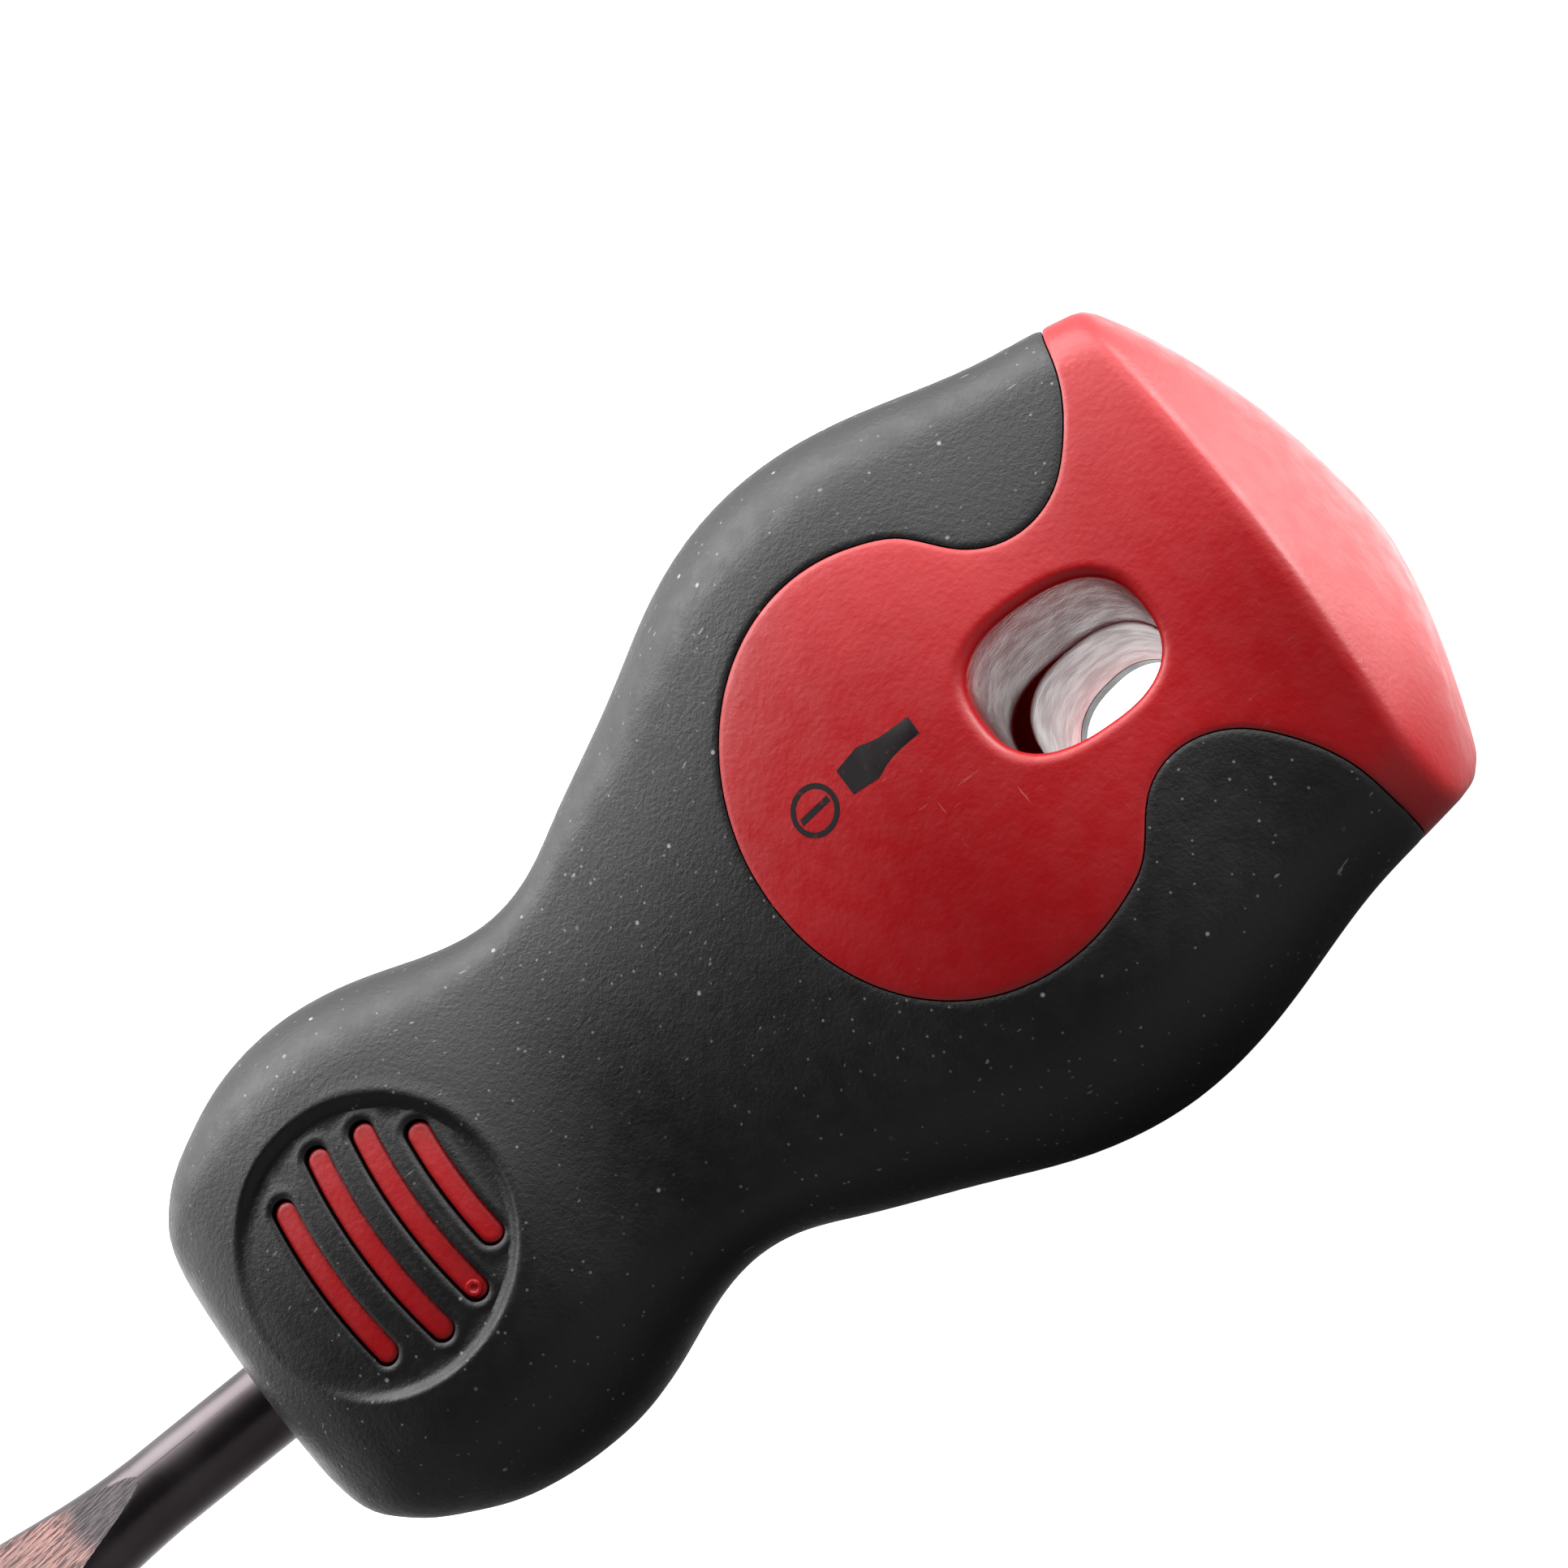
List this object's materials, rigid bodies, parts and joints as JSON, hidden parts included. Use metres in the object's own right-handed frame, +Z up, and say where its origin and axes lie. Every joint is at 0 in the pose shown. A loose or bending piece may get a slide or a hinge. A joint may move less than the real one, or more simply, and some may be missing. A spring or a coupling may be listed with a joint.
{
  "type": "stubby slotted screwdriver",
  "caption": "Short screwdriver with a flat blade, a three-sided bulbous handle, soft grip, ribbed recesses and a hanging hole.",
  "frame": {"origin": "middle of the flat tip of the blade", "axes": "+X along the tool axis from the tip to the butt; +Z up with one of the three handle sides facing down; the side with the hanging hole's round-edged mouth faces -Y and up by 30 degrees"},
  "size_m": [0.1094, 0.039, 0.0374],
  "materials": {
    "blade_steel": "black oxide shank, ground and copper-tinted flats",
    "body_plastic": "satin, fine moulded grain",
    "grip_rubber": "matte, fine grain"
  },
  "bodies": {
    "root": {"blade": "blade_steel", "handle_body": "body_plastic", "grip": "grip_rubber"}
  },
  "joints": []
}
